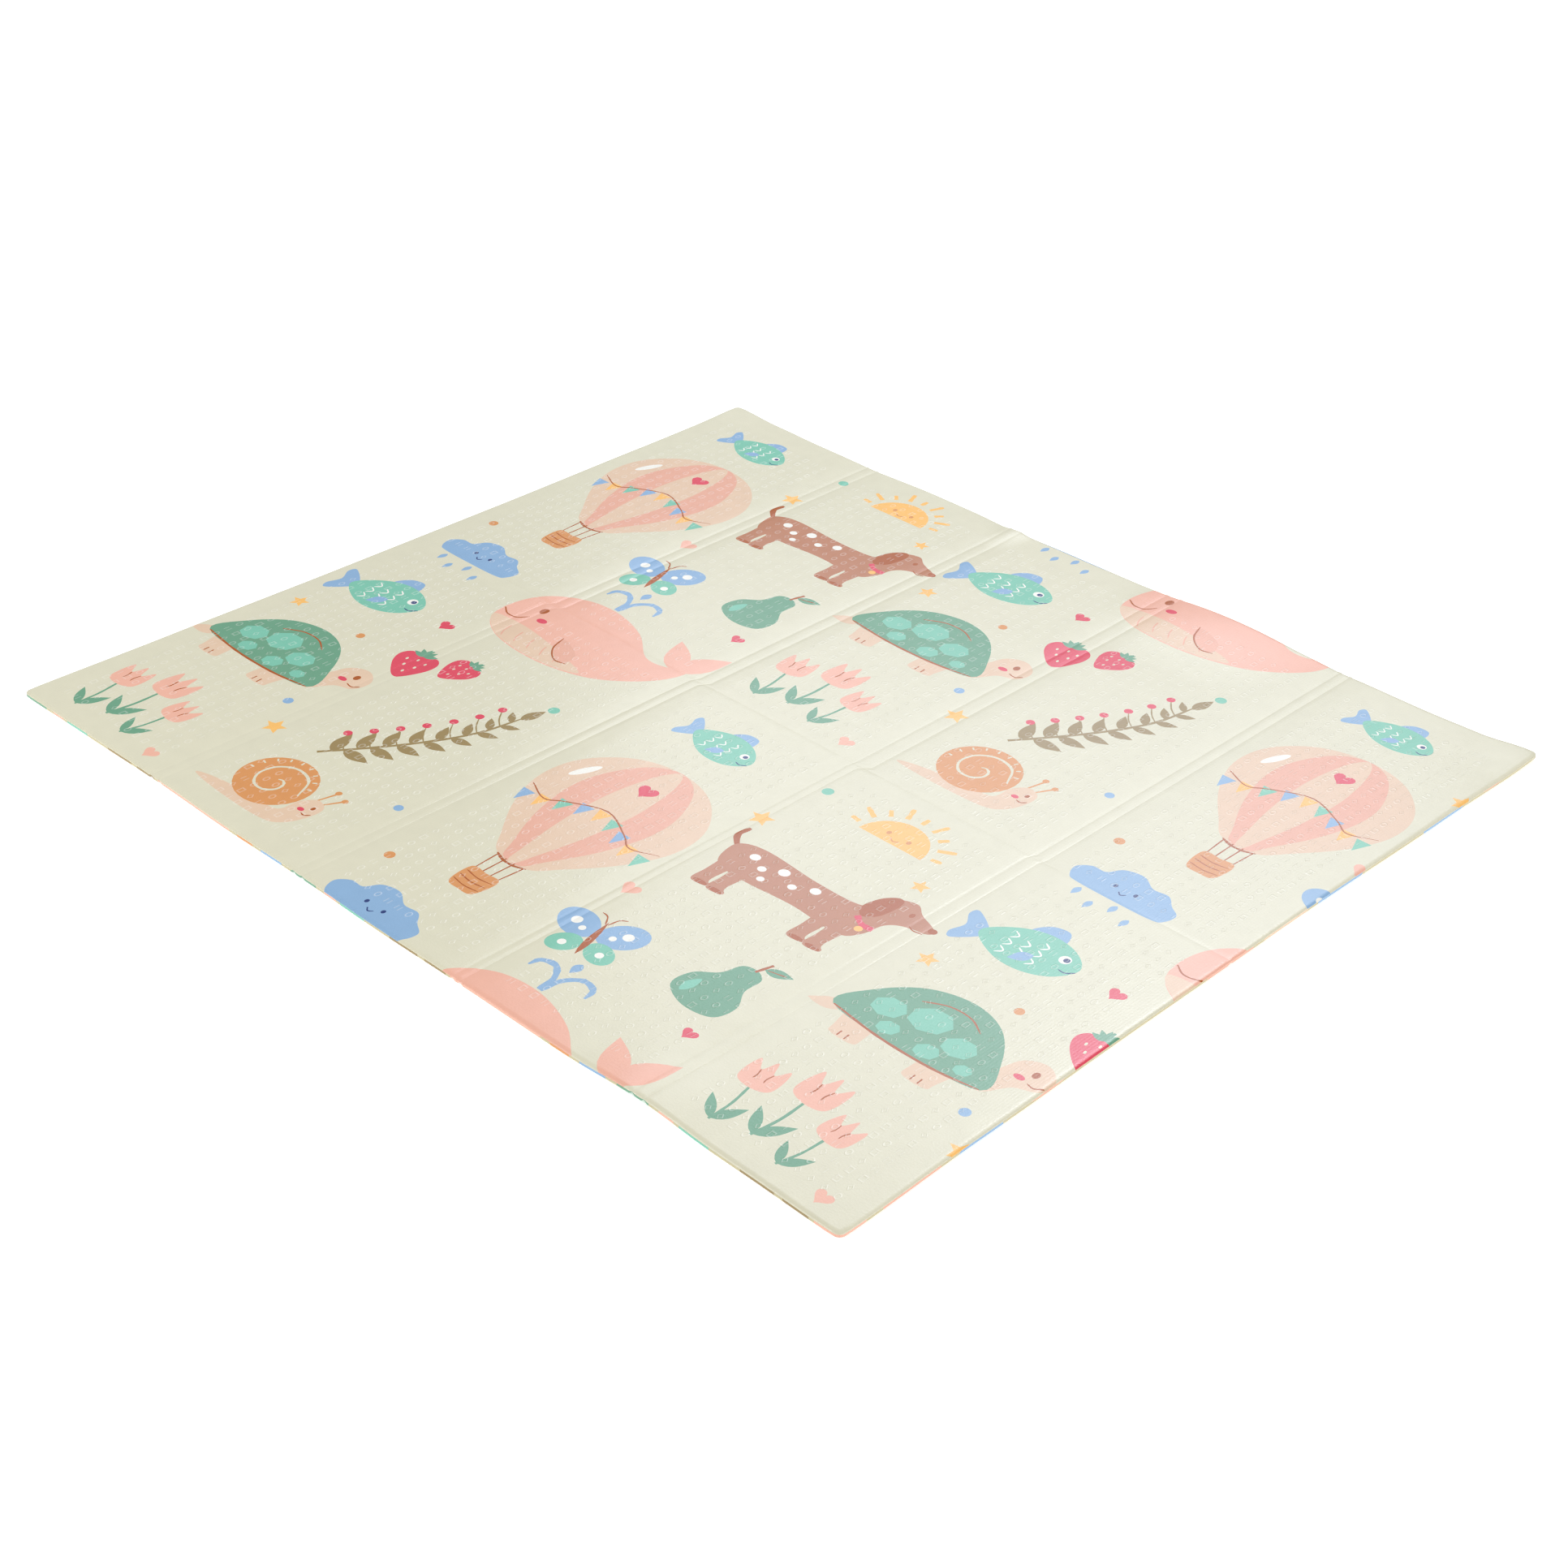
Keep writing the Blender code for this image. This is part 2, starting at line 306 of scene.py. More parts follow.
# Print on the upper film
# A nursery print in soft gravure inks on cream film: plain flat figures with thin brown line work,
# drawn here in millimetres from their own middles, and repeated in a half drop along the mat.
INKS = {
    "cream": "#d3cfb6",
    # the lower film's ground: partly its own colour, partly painted shade on the side wall where it wraps up
    # round the rim
    "straw_and_painted_shade": "#bcb28c",
    "white": "#e9e7dd",
    "salmon": "#e4ac96",
    "peach": "#dabda1",
    "blush": "#dda58e",
    "sage": "#65997b",
    "mint": "#76bba2",
    "sky": "#85a8c9",
    "brown": "#a35009",
    "cocoa": "#b27756",
    "tan": "#d08e53",
    "olive": "#947e4f",
    "apricot": "#efb763",
    "rose": "#d44156",
    "navy": "#1d346d",
}
INK_NAMES = list(INKS)
LINE_WIDTH = 3.4
BRUSH_UNEVENNESS = 0.16
brush_random = random.Random(7)


def oval(x, y, half_x, half_y, turn=0.0, first=0.0, last=360.0, steps=30):
    """An ellipse, or the part of one between two angles, in degrees."""
    whole = abs(last - first) >= 360
    angles = np.radians(np.linspace(first, last, steps, endpoint=not whole))
    across, along = half_x * np.cos(angles), half_y * np.sin(angles)
    lean = math.radians(turn)
    turned_x = x + across * math.cos(lean) - along * math.sin(lean)
    turned_y = y + across * math.sin(lean) + along * math.cos(lean)
    return np.stack([turned_x, turned_y], axis=1)


def curve_through(points, closed, steps=6):
    """A smooth curve through given points."""
    points = np.array(points, float)
    if closed:
        before, start, end, after = (np.roll(points, shift, axis=0) for shift in (1, 0, -1, -2))
    else:
        padded = np.vstack([2 * points[0] - points[1], points, 2 * points[-1] - points[-2]])
        before, start, end, after = padded[:-3], padded[1:-2], padded[2:-1], padded[3:]
    share = np.linspace(0, 1, steps, endpoint=False)[None, :, None]
    before, start, end, after = (row[:, None, :] for row in (before, start, end, after))
    curve = 0.5 * (
        2 * start
        + (end - before) * share
        + (2 * before - 5 * start + 4 * end - after) * share**2
        + (3 * start - before - 3 * end + after) * share**3
    )
    curve = curve.reshape(-1, 2)
    return curve if closed else np.vstack([curve, points[-1]])


def shape(*points):
    """A rounded closed figure through given points."""
    return curve_through(points, closed=True)


def brush(points, width=LINE_WIDTH, start=0.55, end=0.35, steps=5):
    """A brush line of slightly uneven width along a smooth curve, thinner at its start and end."""
    line = curve_through(points, closed=False, steps=steps)
    ahead = np.gradient(line, axis=0)
    ahead /= np.linalg.norm(ahead, axis=1, keepdims=True)
    side = np.stack([-ahead[:, 1], ahead[:, 0]], axis=1)
    share = np.linspace(0, 1, len(line))
    fullness = np.minimum(1, np.minimum(start + share * 4, end + (1 - share) * 4))
    uneven = np.array([1 + brush_random.uniform(-1, 1) * BRUSH_UNEVENNESS for _ in line])
    half = (width / 2 * fullness * uneven)[:, None]
    return np.vstack([line + side * half, (line - side * half)[::-1]])


def leaf(x, y, length, width, direction, steps=8):
    """A pointed leaf from its base, turned to a direction in degrees."""
    share = np.linspace(0, 1, steps)
    half = width / 2 * np.sin(math.pi * share**0.8)
    outline = np.vstack([np.stack([share * length, half], 1), np.stack([share * length, -half], 1)[-2:0:-1]])
    turn = math.radians(direction)
    rotation = np.array([[math.cos(turn), math.sin(turn)], [-math.sin(turn), math.cos(turn)]])
    return outline @ rotation + (x, y)


def star(x, y, radius, points=5, inner=0.46, turn=90.0):
    """A star with the given number of points."""
    angles = np.radians(turn + np.arange(points * 2) * 180 / points)
    reach = np.where(np.arange(points * 2) % 2 == 0, radius, radius * inner)
    return np.stack([x + reach * np.cos(angles), y + reach * np.sin(angles)], axis=1)


def heart(x, y, size):
    """A heart."""
    turn = np.linspace(0, 2 * math.pi, 26, endpoint=False)
    across = 16 * np.sin(turn) ** 3
    along = 13 * np.cos(turn) - 5 * np.cos(2 * turn) - 2 * np.cos(3 * turn) - np.cos(4 * turn)
    return np.stack([x + across * size / 32, y + along * size / 32], axis=1)


def whale():
    """A whale, blowing."""
    figure = [("salmon", leaf(178, 40, 118, 52, 62)), ("salmon", leaf(184, 42, 112, 50, 128))]
    figure.append(("salmon", shape(
        (-214, -22), (-198, 52), (-140, 104), (-52, 118), (40, 92), (112, 40), (164, 42), (186, 66),
        (206, 52), (192, 4), (150, -48), (86, -92), (-14, -116), (-120, -110), (-192, -76))))
    figure.append(("peach", shape(
        (-206, -50), (-150, -42), (-76, -50), (0, -66), (70, -88), (20, -108), (-60, -114), (-136, -104),
        (-188, -78))))
    for step in range(5):
        x = -150 + step * 36
        figure.append(("blush", brush([(x, -58 - step * 3), (x + 4, -80), (x + 14, -98)], 3)))
    figure += [
        ("blush", shape((-40, -26), (-8, -34), (20, -52), (26, -82), (2, -84), (-28, -62))),
        ("brown", brush([(-44, -22), (-30, -62), (2, -88), (30, -84)])),
        ("brown", oval(-148, 22, 8, 11)),
        ("brown", brush([(-212, -20), (-190, -34), (-166, -30), (-152, -12)])),
        ("rose", oval(-122, -8, 12, 8)),
        ("sky", brush([(-60, 122), (-62, 156), (-84, 182), (-112, 176), (-118, 154)], 11)),
        ("sky", brush([(-54, 122), (-50, 160), (-26, 186), (2, 180), (8, 156)], 11)),
        ("sky", leaf(-57, 214, 30, 18, -90)),
    ]
    return figure


def balloon():
    """A hot air balloon with a basket and a row of pennants."""
    figure = [("peach", shape(
        (0, 258), (-86, 236), (-148, 170), (-160, 88), (-128, 4), (-74, -70), (-34, -112), (34, -112),
        (74, -70), (128, 4), (160, 88), (148, 170), (86, 236)))]
    figure.append(("blush", shape(
        (0, 258), (-54, 232), (-92, 160), (-98, 86), (-76, 0), (-40, -76), (-20, -113), (20, -113), (40, -76),
        (76, 0), (98, 86), (92, 160), (54, 232))))
    figure.append(("peach", shape(
        (0, 257), (-22, 224), (-36, 150), (-38, 84), (-30, 0), (-16, -76), (-8, -113), (8, -113), (16, -76),
        (30, 0), (38, 84), (36, 150), (22, 224))))
    for step in range(9):
        x = -136 + step * 34
        y = 52 - 22 * math.cos(math.radians(step * 45))
        ink = ("sky", "apricot", "mint")[step % 3]
        figure.append((ink, np.array([(x - 14, y + 14), (x, y - 22), (x + 14, y + 14)])))
    figure.append(("brown", brush([
        (-150, 64), (-102, 44), (-68, 64), (0, 92), (68, 64), (102, 44), (150, 64)], 3)))
    figure.append(("brown", brush([(-34, -112), (-12, -120), (12, -120), (34, -112)], 5)))
    for x, foot in ((-30, -26), (-10, -9), (10, 9), (30, 26)):
        figure.append(("brown", brush([(x, -114), (foot, -168)], 2.6, 1, 1)))
    figure.append(("tan", shape((-32, -166), (0, -164), (32, -166), (28, -216), (0, -222), (-28, -216))))
    for row in range(3):
        y = -178 - row * 14
        figure.append(("brown", brush([(-29, y), (0, y - 4), (29, y)], 2.4)))
    figure += [("rose", heart(0, 178, 40)), ("white", oval(-118, 150, 8, 30, -22))]
    return figure


def tortoise():
    """A walking tortoise."""
    figure = []
    for x, turn in ((-96, 8), (66, -8)):
        figure.append(("peach", shape(
            (x - 26, -30), (x + 24, -30), (x + 28 + turn, -84), (x + 22 + turn, -100), (x - 20 + turn, -100),
            (x - 28 + turn, -84))))
        for toe in (-8, 6):
            figure.append(("brown", brush([(x + toe + turn, -86), (x + toe + 1 + turn, -99)], 2.6, 1, 1)))
    figure += [
        ("peach", leaf(-128, -40, 66, 30, 198)),
        ("peach", shape(
            (96, -44), (124, 8), (140, 52), (176, 68), (206, 46), (202, 10), (168, -8), (140, -48))),
        ("sage", shape(
            (-152, -46), (-132, 22), (-76, 82), (0, 104), (70, 84), (120, 26), (140, -46), (0, -58))),
    ]
    scutes = ((-86, 6, 30), (-20, 26, 38), (54, 6, 30), (-54, -32, 20), (24, -34, 22), (92, -30, 16))
    for x, y, size in scutes:
        figure.append(("mint", oval(x, y, size, size * 0.82, 12, steps=7)))
    figure += [
        ("brown", brush([(-150, -46), (-70, -57), (0, -60), (70, -57), (138, -46)], 5)),
        ("brown", brush([(-62, 52), (-22, 72), (20, 72), (54, 54)], 3)),
        ("brown", oval(176, 38, 6, 8)),
        ("brown", brush([(204, 22), (192, 12), (178, 14)], 3)),
        ("rose", oval(160, 18, 10, 6)),
    ]
    return figure


def hound():
    """A long low dog, standing."""
    figure = [("brown", brush([(-176, 30), (-204, 60), (-202, 92)], 12, 1, 0.5))]
    for x in (-150, -112, 84, 122):
        figure.append(("cocoa", shape(
            (x - 16, 0), (x + 16, 0), (x + 14, -74), (x + 24, -90), (x + 18, -98), (x - 14, -98),
            (x - 16, -60))))
        figure.append(("brown", oval(x + 6, -94, 16, 6, steps=16)))
    figure += [
        ("cocoa", shape(
            (-186, 20), (-174, 48), (-120, 60), (0, 52), (96, 56), (128, 84), (136, 116), (170, 130),
            (196, 112), (238, 94), (240, 76), (196, 64), (170, 40), (160, -6), (128, -36), (20, -30),
            (-90, -38), (-164, -30))),
        ("brown", shape((132, 120), (112, 96), (104, 56), (122, 34), (144, 52), (152, 90), (148, 118))),
        ("brown", oval(240, 88, 9, 8)),
        ("brown", oval(184, 98, 5, 7)),
        ("brown", brush([(232, 70), (214, 66), (200, 72)], 3)),
        ("rose", brush([(118, 30), (140, 16), (166, 16)], 12, 1, 1)),
        ("apricot", oval(146, 2, 8, 8, steps=16)),
    ]
    spots = ((-130, 30, 11), (-96, 12, 9), (-60, 32, 12), (-20, 10, 9), (18, 30, 11), (-76, -12, 8))
    for x, y, size in spots:
        figure.append(("white", oval(x, y, size, size * 0.9, steps=14)))
    return figure


def branch():
    """A bending branch with paired round leaves and berries."""
    stem = [(-110, -150), (-60, -80), (-14, -6), (24, 76), (40, 160)]
    figure = [("olive", brush(stem, 6, 1, 0.5))]
    line = curve_through(stem, closed=False, steps=4)
    for step in range(1, len(line) - 1):
        (x, y), (next_x, next_y) = line[step], line[step + 1]
        ahead = math.degrees(math.atan2(next_y - y, next_x - x))
        size = 64 - step * 2
        figure.append(("olive", leaf(x, y, size, size * 0.42, ahead + (52 if step % 2 else -52))))
        if step % 2 == 0:
            figure.append(("olive", brush([(x, y), (x - 18, y + 14), (x - 34, y + 34)], 2.6)))
            figure.append(("rose", oval(x - 37, y + 38, 8, 8, steps=16)))
    figure.append(("olive", leaf(40, 156, 50, 22, 78)))
    return figure


def fish():
    """A small round fish."""
    figure = [
        ("sky", shape((-70, 0), (-112, 44), (-124, 30), (-112, 0), (-124, -30), (-112, -44))),
        ("sky", shape((-20, 46), (0, 78), (36, 80), (40, 44))),
        ("mint", shape((-86, 0), (-40, 44), (16, 58), (70, 42), (100, 4), (70, -38), (16, -54), (-40, -42))),
    ]
    for column in range(3):
        for row in range(3 - column % 2):
            x, y = -34 + column * 28, -24 + row * 24 + (column % 2) * 12
            figure.append(("white", brush([(x - 4, y + 10), (x + 7, y), (x - 4, y - 10)], 3)))
    figure += [
        ("white", oval(66, 14, 11, 11, steps=18)),
        ("navy", oval(69, 14, 6, 6, steps=14)),
        ("navy", brush([(98, -6), (84, -16), (70, -14)], 3)),
        ("sky", leaf(20, -6, 44, 24, 222)),
    ]
    return figure


def snail():
    """A snail with a coiled shell."""
    figure = [
        ("tan", brush([(84, 22), (92, 60)], 4, 1, 1)),
        ("tan", brush([(98, 18), (116, 52)], 4, 1, 1)),
        ("tan", oval(92, 64, 6, 6, steps=12)),
        ("tan", oval(118, 56, 6, 6, steps=12)),
        ("peach", shape(
            (-122, -64), (-70, -48), (10, -40), (60, -34), (66, 4), (86, 28), (112, 18), (114, -14),
            (98, -52), (60, -70), (-60, -72))),
        ("tan", oval(-8, 14, 74, 70)),
    ]
    coil = [(60 - turn * 5.2, turn * 46) for turn in range(11)]
    spiral = [(-8 + r * math.cos(math.radians(a)), 12 + r * math.sin(math.radians(a))) for r, a in coil]
    figure.append(("cream", brush(spiral, 5)))
    for ray in range(9):
        angle = math.radians(20 + ray * 20)
        inner, outer = 60, 68
        figure.append(("cream", brush([
            (-8 + inner * math.cos(angle), 14 + inner * math.sin(angle)),
            (-8 + outer * math.cos(angle), 14 + outer * math.sin(angle))], 3, 1, 1)))
    figure += [
        ("brown", oval(100, 6, 4, 5, steps=12)),
        ("brown", brush([(112, -8), (104, -16), (94, -14)], 2.6)),
        ("rose", oval(86, -8, 7, 5, steps=14)),
    ]
    return figure


def berry():
    """A strawberry."""
    figure = [("rose", shape(
        (0, 40), (-30, 44), (-46, 22), (-36, -14), (0, -52), (36, -14), (46, 22), (30, 44)))]
    for x, y in ((-22, 16), (0, 22), (22, 16), (-14, -4), (12, -4), (0, -26)):
        figure.append(("cream", oval(x, y, 2.6, 4.4, steps=10)))
    for direction in (20, 55, 90, 125, 160):
        figure.append(("sage", leaf(0, 38, 30, 13, direction)))
    figure.append(("sage", brush([(0, 40), (6, 66)], 5, 1, 1)))
    return figure


def tulip():
    """A tulip with two leaves."""
    return [
        ("sage", brush([(0, 20), (4, -30), (0, -78)], 5, 1, 1)),
        ("sage", leaf(0, -76, 62, 20, 58)),
        ("sage", leaf(0, -76, 58, 18, 124)),
        ("salmon", shape(
            (0, 16), (-28, 24), (-34, 50), (-28, 84), (-12, 62), (0, 90), (12, 62), (28, 84), (34, 50),
            (28, 24))),
        ("brown", brush([(-12, 62), (-9, 48), (-10, 38)], 2.4)),
        ("brown", brush([(12, 62), (9, 48), (10, 38)], 2.4)),
    ]


def cloud():
    """A cloud with rain drops."""
    figure = [("sky", shape(
        (-96, -16), (-104, 10), (-84, 30), (-58, 32), (-40, 58), (-4, 66), (28, 48), (60, 50), (82, 30),
        (104, 14), (100, -12), (80, -24), (0, -26), (-76, -24)))]
    for x, y in ((-58, -58), (-20, -76), (18, -58), (56, -76)):
        figure.append(("sky", leaf(x, y + 26, 26, 13, -96)))
    figure.append(("navy", oval(-22, 12, 4, 5, steps=12)))
    figure.append(("navy", oval(20, 12, 4, 5, steps=12)))
    figure.append(("navy", brush([(-8, 2), (0, -4), (8, 2)], 2.6)))
    return figure


def sun():
    """A rising half sun with rays."""
    figure = [("apricot", oval(0, -30, 62, 62, first=0, last=180, steps=24))]
    for ray in range(9):
        angle = math.radians(10 + ray * 20)
        reach = 104 if ray % 2 else 92
        figure.append(("apricot", brush([
            (74 * math.cos(angle), -30 + 74 * math.sin(angle)),
            (reach * math.cos(angle), -30 + reach * math.sin(angle))], 8, 1, 0.7)))
    figure += [
        ("tan", oval(-20, -8, 4, 5, steps=12)),
        ("tan", oval(20, -8, 4, 5, steps=12)),
        ("tan", brush([(-9, -17), (0, -22), (9, -17)], 2.8)),
    ]
    return figure


def pear():
    """A pear with a leaf."""
    return [
        ("sage", shape(
            (0, 62), (-22, 52), (-28, 18), (-52, -14), (-48, -54), (0, -70), (48, -54), (52, -14), (28, 18),
            (22, 52))),
        ("mint", shape((-30, -12), (-40, -34), (-30, -52), (-22, -34))),
        ("brown", brush([(0, 58), (4, 88)], 5, 1, 1)),
        ("sage", leaf(4, 72, 46, 20, 24)),
        ("brown", brush([(8, 74), (36, 86)], 2.2)),
    ]


def butterfly():
    """A butterfly seen from above."""
    figure = []
    for side in (-1, 1):
        figure.append(("sky", oval(side * 38, 26, 40, 30, side * 32)))
        figure.append(("mint", oval(side * 30, -26, 28, 22, side * -34)))
        for x, y, size in ((44, 30, 9), (26, 16, 6), (32, -28, 7)):
            figure.append(("white", oval(side * x, y, size, size, steps=14)))
        figure.append(("brown", brush([(side * 2, 40), (side * 10, 58), (side * 22, 64)], 2.6)))
    figure.append(("brown", leaf(0, -44, 92, 12, 90)))
    return figure


# motif, middle_x, middle_y, scale, turn, in millimetres and degrees, on one repeat of 800 by 1800
REPEAT_LENGTH, REPEAT_WIDTH = 800, 1800
LAYOUT = [
    (tulip, 92, 118, 1.00, 6),
    (tulip, 170, 148, 1.12, -3),
    (tulip, 246, 112, 0.92, -9),
    (snail, 560, 128, 1.05, 0),
    (tortoise, 190, 420, 1.02, 0),
    (branch, 640, 410, 1.06, 0),
    (berry, 398, 560, 0.95, 12),
    (berry, 476, 606, 0.78, -14),
    (fish, 150, 690, 1.00, 8),
    (whale, 560, 850, 1.00, 0),
    (cloud, 160, 920, 1.00, 0),
    (balloon, 210, 1290, 1.04, 0),
    (butterfly, 460, 1120, 1.10, 14),
    (pear, 690, 1180, 1.10, -8),
    (hound, 596, 1440, 0.92, 0),
    (sun, 600, 1690, 1.10, 0),
    (fish, 190, 1670, 0.80, -6),
]
# ink, middle_x, middle_y, size
STARS = [
    ("apricot", 404, 250, 24), ("apricot", 60, 560, 20), ("apricot", 400, 1560, 24),
    ("apricot", 720, 1600, 18),
]
HEARTS = [
    ("rose", 330, 700, 34), ("salmon", 400, 1260, 38), ("rose", 740, 1060, 30), ("salmon", 330, 40, 34),
]
DOTS = [
    ("mint", 700, 640, 11), ("sky", 350, 320, 10), ("tan", 60, 1040, 10), ("mint", 420, 1700, 11),
    ("sky", 760, 240, 9), ("tan", 250, 560, 9),
]
STAR_TURN = 10
HEART_TURN = -8
UPPER_GROUND = "cream"


def lay_out_upper_print():
    """Every figure of the upper print, in printing order: ink number, outline in metres from the middle."""
    motifs = [(make(), x, y, scale, turn) for make, x, y, scale, turn in LAYOUT]
    motifs += [([(ink, star(0, 0, size))], x, y, 1, STAR_TURN) for ink, x, y, size in STARS]
    motifs += [([(ink, heart(0, 0, size))], x, y, 1, HEART_TURN) for ink, x, y, size in HEARTS]
    motifs += [([(ink, oval(0, 0, size, size, steps=20))], x, y, 1, 0) for ink, x, y, size in DOTS]
    printed = []
    for repeat in range(math.ceil(LENGTH * 1000 / REPEAT_LENGTH)):
        drop = REPEAT_WIDTH / 2 * (repeat % 2)
        for figure, x, y, scale, turn in motifs:
            lean = math.radians(turn)
            rotation = np.array([[math.cos(lean), math.sin(lean)], [-math.sin(lean), math.cos(lean)]]) * scale
            for roll in (-REPEAT_WIDTH, 0, REPEAT_WIDTH):
                middle = np.array([x + repeat * REPEAT_LENGTH, y + drop + roll])
                for ink, outline in figure:
                    place = (outline @ rotation + middle) / 1000 - (HALF_LENGTH, HALF_WIDTH)
                    low, high = place.min(axis=0), place.max(axis=0)
                    if (low < (HALF_LENGTH, HALF_WIDTH)).all() and (high > (-HALF_LENGTH, -HALF_WIDTH)).all():
                        printed.append((INK_NAMES.index(ink), place))
    return printed


# Print on the lower film
# Plain pebbles in rows whose places step along, so that they cross the edges and colour the side
# wall where the lower film is wrapped up round it. The first row, on the near edge, has the inks
# that show there, and the others have the pale ones.
# start, end, ink, along the mat in millimetres, on one repeat
PEBBLES = [
    (7, 74, "sage"), (95, 126, "salmon"), (137, 199, "mint"), (262, 330, "olive"), (346, 397, "olive"),
    (407, 615, "salmon"), (636, 678, "tan"), (700, 755, "sky"),
]
PEBBLE_REPEAT = 772
PEBBLE_REPEATS = range(-1, 4)
PEBBLE_ROW = 150
PEBBLE_HALF_HEIGHT = 62
PEBBLE_ROW_STEP = 712
PALE_PEBBLES = ("blush", "sky", "peach")
# The lower film's ground is darker than the upper cream, partly as its own colour and partly as painted shade
# on the side wall where the film wraps up round the rim.
LOWER_GROUND_AND_PAINTED_SHADE = "straw_and_painted_shade"


def lay_out_lower_print():
    """Every pebble of the lower print: ink number, outline in metres from the middle."""
    printed = []
    rows = round(WIDTH * 1000 / PEBBLE_ROW)
    for row in range(rows + 1):
        for repeat in PEBBLE_REPEATS:
            for number, (start, end, edge_ink) in enumerate(PEBBLES):
                ink = PALE_PEBBLES[(row + number) % len(PALE_PEBBLES)] if row else edge_ink
                step = repeat * PEBBLE_REPEAT + (row * PEBBLE_ROW_STEP) % PEBBLE_REPEAT
                middle_x = (start + end) / 2 + step
                outline = oval(middle_x, row * PEBBLE_ROW, (end - start) / 2, PEBBLE_HALF_HEIGHT, steps=36)
                place = outline / 1000 - (HALF_LENGTH, HALF_WIDTH)
                reach = HALF_LENGTH + RIM_WRAP
                if place[:, 0].min() < reach and place[:, 0].max() > -reach:
                    printed.append((INK_NAMES.index(ink), place))
    return printed


# Mesh of the mat
# Each film is cut into triangles along its print, its creases and its rim, so that the inks keep
# crisp edges, and both are joined at the rim into one closed sheet.
GRID_STEP = 0.026
GROOVE_LINES = (-0.0110, -0.0075, -0.0045, -0.0022, -0.0007, 0.0, 0.0007, 0.0022, 0.0045, 0.0075, 0.0110)
BITE_LINES = (-0.0070, -0.0052, -0.0034, -0.0017, 0.0, 0.0017, 0.0034, 0.0052, 0.0070)
JOG_LINES = (-0.0120, -0.0090, -0.0060, -0.0030, 0.0030, 0.0060, 0.0090, 0.0120)
MARGIN_LINES = (-0.036, -0.024, 0.024, 0.036)
RIM_LINES = (0.0003, 0.0010, 0.0022, 0.0040, 0.0062, RIM_REACH)
WRAP_LINES = (0.25, 0.6)
LINES_APART = 5e-4
KEPT_CLEAR = 0.4
LINE_REACH = 1.01
MERGE_WITHIN = 2e-5
NORMAL_STEP = 2e-4
ON_EDGE = 2e-6
JUST_INSIDE = 0.9999


def fill_between(low, high, taken, step):
    """Even places between two ends that keep clear of the taken ones."""
    count = math.ceil((high - low) / step)
    places = [low + (high - low) * part / count for part in range(count + 1)]
    return [place for place in places if all(abs(place - other) > step * KEPT_CLEAR for other in taken)]


def film_lines(is_top):
    """The lines that cut a film: offsets from a crease, places along X at the rim and between, and rows."""
    across = GROOVE_LINES if is_top else BITE_LINES
    past = () if is_top else tuple(-RIM_WRAP * share for share in WRAP_LINES + (1.0,))
    rim = tuple(sorted(past + (0.0,) + RIM_LINES))
    fixed_x = [side * (HALF_LENGTH - inside) for side in (-1, 1) for inside in rim]
    fixed_y = [side * (HALF_WIDTH - inside) for side in (-1, 1) for inside in rim]
    fixed_y += across
    fixed_y += [line for line in JOG_LINES if min(abs(line - other) for other in across) > LINES_APART]
    even = [middle + side * HINGE_WIDTH / 2 for middle in FOLD_MIDDLES for side in (-1, 1)]
    kept_clear = [place + offset for place in even for offset in across]
    kept_clear += [middle + offset for middle in FOLD_MIDDLES for offset in MARGIN_LINES + (0.0,)]
    inner_x = fill_between(-HALF_LENGTH, HALF_LENGTH, fixed_x + kept_clear, GRID_STEP)
    inner_y = fill_between(-HALF_WIDTH, HALF_WIDTH, fixed_y, GRID_STEP)
    return across, fixed_x, inner_x, sorted(fixed_y + inner_y)


def cut_film(printed, is_top):
    """Triangles of one film, cut along its print: flat points, corner numbers, and each triangle's ink."""
    half_x = HALF_LENGTH + (0 if is_top else RIM_WRAP)
    half_y = HALF_WIDTH + (0 if is_top else RIM_WRAP)
    across, fixed_x, inner_x, rows = film_lines(is_top)
    rows_y = np.array(rows)
    creases = crease_places(rows_y)
    points, edges = [], []

    def add_line(xs, ys, closed=False, joined=True):
        first = len(points)
        points.extend(zip(xs, ys))
        count = len(points) - first
        if joined:
            edges.extend((first + step, first + step + 1) for step in range(count - 1))
        if closed:
            edges.append((first + count - 1, first))

    for x in fixed_x:
        add_line(np.full(len(rows), x), rows)
    for crease in creases:
        for offset in across:
            add_line(crease + offset, rows)
    for left, right in zip(creases[::2], creases[1::2]):
        add_line((left + right) / 2, rows)
        for offset in MARGIN_LINES:
            add_line((left + right) / 2 + offset, rows)
    for x in inner_x:
        add_line(np.full(len(rows), x), rows, joined=False)
    for y in rows:
        if abs(y) > HALF_WIDTH - RIM_REACH * LINE_REACH or abs(y) <= across[-1] * LINE_REACH:
            add_line([-half_x, half_x], [y, y])
    for _, outline in printed:
        add_line(outline[:, 0], outline[:, 1], closed=True)
    made = delaunay_2d_cdt([Vector(point) for point in points], edges, [], 0, MERGE_WITHIN, False)
    flat = np.array([tuple(point) for point in made[0]])
    triangles = np.array(made[2])
    middles = flat[triangles].mean(axis=1)
    inside = (np.abs(middles[:, 0]) < half_x) & (np.abs(middles[:, 1]) < half_y)
    inks = ink_triangles(middles[inside], printed, UPPER_GROUND if is_top else LOWER_GROUND_AND_PAINTED_SHADE)
    used, corners = np.unique(triangles[inside], return_inverse=True)
    return flat[used], corners.reshape(-1, 3), inks


